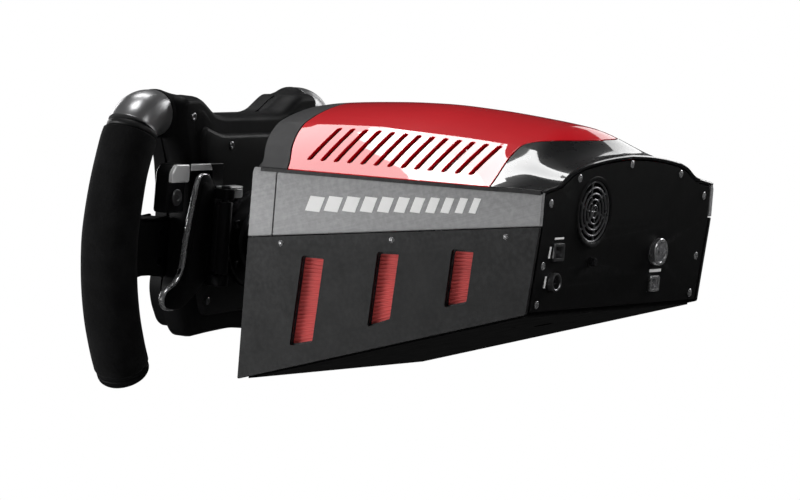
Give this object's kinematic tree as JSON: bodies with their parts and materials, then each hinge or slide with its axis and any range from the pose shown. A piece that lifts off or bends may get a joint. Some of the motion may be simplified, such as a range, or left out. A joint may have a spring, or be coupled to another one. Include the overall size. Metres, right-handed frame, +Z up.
{
  "type": "force feedback racing wheel",
  "caption": "Sim-racing wheel: a wedge-shaped force-feedback base with a curved red roof carries a detachable open-bottom steering wheel with suede grips and shift paddles.",
  "frame": {"origin": "centre of the base's flat underside, on the mounting plane", "axes": "+Z up, square to the underside; +X to the driver's right; +Y away from the driver. The steering axis lies in the YZ plane and rises towards the driver by 17.5 degrees"},
  "size_m": [0.2956, 0.3896, 0.2115],
  "materials": {
    "red_gloss": "high gloss",
    "black_gloss": "high gloss",
    "dark_cap": "satin",
    "grey_trim": "brushed satin",
    "graphite_panel": "satin",
    "vent_red": "matt",
    "black_plastic": "fine grain",
    "suede": "napped, no shine",
    "grip_cap": "satin gloss",
    "aluminium": "brushed",
    "dark_aluminium": "brushed, dark anodised",
    "steel": "machined",
    "chrome": "polished",
    "rubber": "matt",
    "board": "solder mask"
  },
  "bodies": {
    "base": {"front_cap": "dark_cap", "top_cover": "red_gloss", "rear_cap": "black_gloss", "side_panel_right": "graphite_panel", "side_panel_left": "graphite_panel", "side_trim_right": "grey_trim", "side_trim_left": "grey_trim", "vent_backing_right": "vent_red", "vent_backing_left": "vent_red", "front_bezel": "black_plastic", "nose_cone": "black_plastic", "back_panel": "black_plastic", "fan_guard": "steel", "fan_frame": "black_plastic", "power_socket": "chrome", "usb_socket": "steel", "pedal_socket": "black_plastic", "shifter_socket": "black_plastic", "bearing_block": "aluminium", "front_bearing": "steel", "rear_bearing": "steel", "sensor_board": "board", "jack_pin": "steel", "motor_stator": "steel", "motor_bracket": "aluminium", "belt_to_shaft": "rubber", "belt_from_motor": "rubber", "base_tray": "black_plastic", "control_board": "board"},
    "release_ring": {"release_ring": "black_plastic"},
    "jackshaft": {"jack_pulley": "black_plastic"},
    "motor": {"motor_rotor": "steel"},
    "fan": {"fan_rotor": "black_plastic"},
    "mode_button": {"mode_button": "black_gloss"},
    "paddle_right": {"paddle_right": "dark_aluminium"},
    "paddle_left": {"paddle_left": "dark_aluminium"},
    "button_1": {"button_1": "black_gloss"},
    "button_2": {"button_2": "black_gloss"},
    "button_3": {"button_3": "black_gloss"},
    "button_4": {"button_4": "black_gloss"},
    "button_5": {"button_5": "black_gloss"},
    "button_6": {"button_6": "black_gloss"},
    "direction_pad": {"direction_pad": "black_gloss"},
    "knob_right": {"knob_right": "black_plastic"},
    "knob_left": {"knob_left": "black_plastic"},
    "wheel": {"main_shaft": "steel", "drive_pulley": "black_plastic", "encoder_magnet": "steel", "hub_rear_shell": "black_plastic", "hub_front_shell": "black_plastic", "face_plate": "graphite_panel", "wheel_board": "board", "grip_right": "suede", "grip_left": "suede", "rim_corner_right": "grip_cap", "rim_corner_left": "grip_cap", "paddle_bracket_right": "chrome", "paddle_bracket_left": "chrome", "rim_frame": "dark_aluminium", "wheel_hub": "dark_aluminium"}
  },
  "joints": [
    {"name": "steering", "type": "hinge", "parent": "base", "child": "wheel", "pos_m": [0, -0.0907, 0.08154], "axis": [0, 0.9537, -0.3007], "range_deg": [-540, 540]},
    {"name": "jackshaft_spin", "type": "hinge", "parent": "base", "child": "jackshaft", "pos_m": [0.06, 0.02634, 0.08029], "axis": [0, 0.9537, -0.3007], "range_deg": [-2160, 2160]},
    {"name": "motor_spin", "type": "hinge", "parent": "base", "child": "motor", "pos_m": [-0.012, 0.071, 0.09557], "axis": [0, 0.9537, -0.3007], "range_deg": [-6480, 6480]},
    {"name": "fan_spin", "type": "hinge", "parent": "base", "child": "fan", "pos_m": [0.047, 0.12647, 0.06864], "axis": [0, 0.9537, -0.3007], "continuous": true},
    {"name": "mode_press", "type": "slide", "parent": "base", "child": "mode_button", "axis": [0, -0.9537, 0.3007], "range_m": [0, 0.0015]},
    {"name": "release_turn", "type": "hinge", "parent": "wheel", "child": "release_ring", "pos_m": [0, -0.1279, 0.09327], "axis": [0, 0.9537, -0.3007], "range_deg": [-540, 0]},
    {"name": "paddle_right_pull", "type": "hinge", "parent": "wheel", "child": "paddle_right", "pos_m": [0.05, -0.15179, 0.10395], "axis": [0, 0.3007, 0.9537], "range_deg": [-4, 0]},
    {"name": "paddle_left_pull", "type": "hinge", "parent": "wheel", "child": "paddle_left", "pos_m": [-0.05, -0.15179, 0.10395], "axis": [0, 0.3007, 0.9537], "range_deg": [0, 4]},
    {"name": "button_1_press", "type": "slide", "parent": "wheel", "child": "button_1", "axis": [0, 0.9537, -0.3007], "range_m": [0, 0.0015]},
    {"name": "button_2_press", "type": "slide", "parent": "wheel", "child": "button_2", "axis": [0, 0.9537, -0.3007], "range_m": [0, 0.0015]},
    {"name": "button_3_press", "type": "slide", "parent": "wheel", "child": "button_3", "axis": [0, 0.9537, -0.3007], "range_m": [0, 0.0015]},
    {"name": "button_4_press", "type": "slide", "parent": "wheel", "child": "button_4", "axis": [0, 0.9537, -0.3007], "range_m": [0, 0.0015]},
    {"name": "button_5_press", "type": "slide", "parent": "wheel", "child": "button_5", "axis": [0, 0.9537, -0.3007], "range_m": [0, 0.0015]},
    {"name": "button_6_press", "type": "slide", "parent": "wheel", "child": "button_6", "axis": [0, 0.9537, -0.3007], "range_m": [0, 0.0015]},
    {"name": "pad_tilt", "type": "hinge", "parent": "wheel", "child": "direction_pad", "pos_m": [0, -0.19111, 0.14885], "axis": [1, 0, 0], "range_deg": [-4, 4]},
    {"name": "knob_right_turn", "type": "hinge", "parent": "wheel", "child": "knob_right", "pos_m": [0.026, -0.21742, 0.07536], "axis": [0, 0.9537, -0.3007], "continuous": true},
    {"name": "knob_left_turn", "type": "hinge", "parent": "wheel", "child": "knob_left", "pos_m": [-0.026, -0.21742, 0.07536], "axis": [0, 0.9537, -0.3007], "continuous": true}
  ],
  "couplings": [
    {"joint": "jackshaft_spin", "follows": "steering", "ratio": 4},
    {"joint": "motor_spin", "follows": "steering", "ratio": 12}
  ]
}
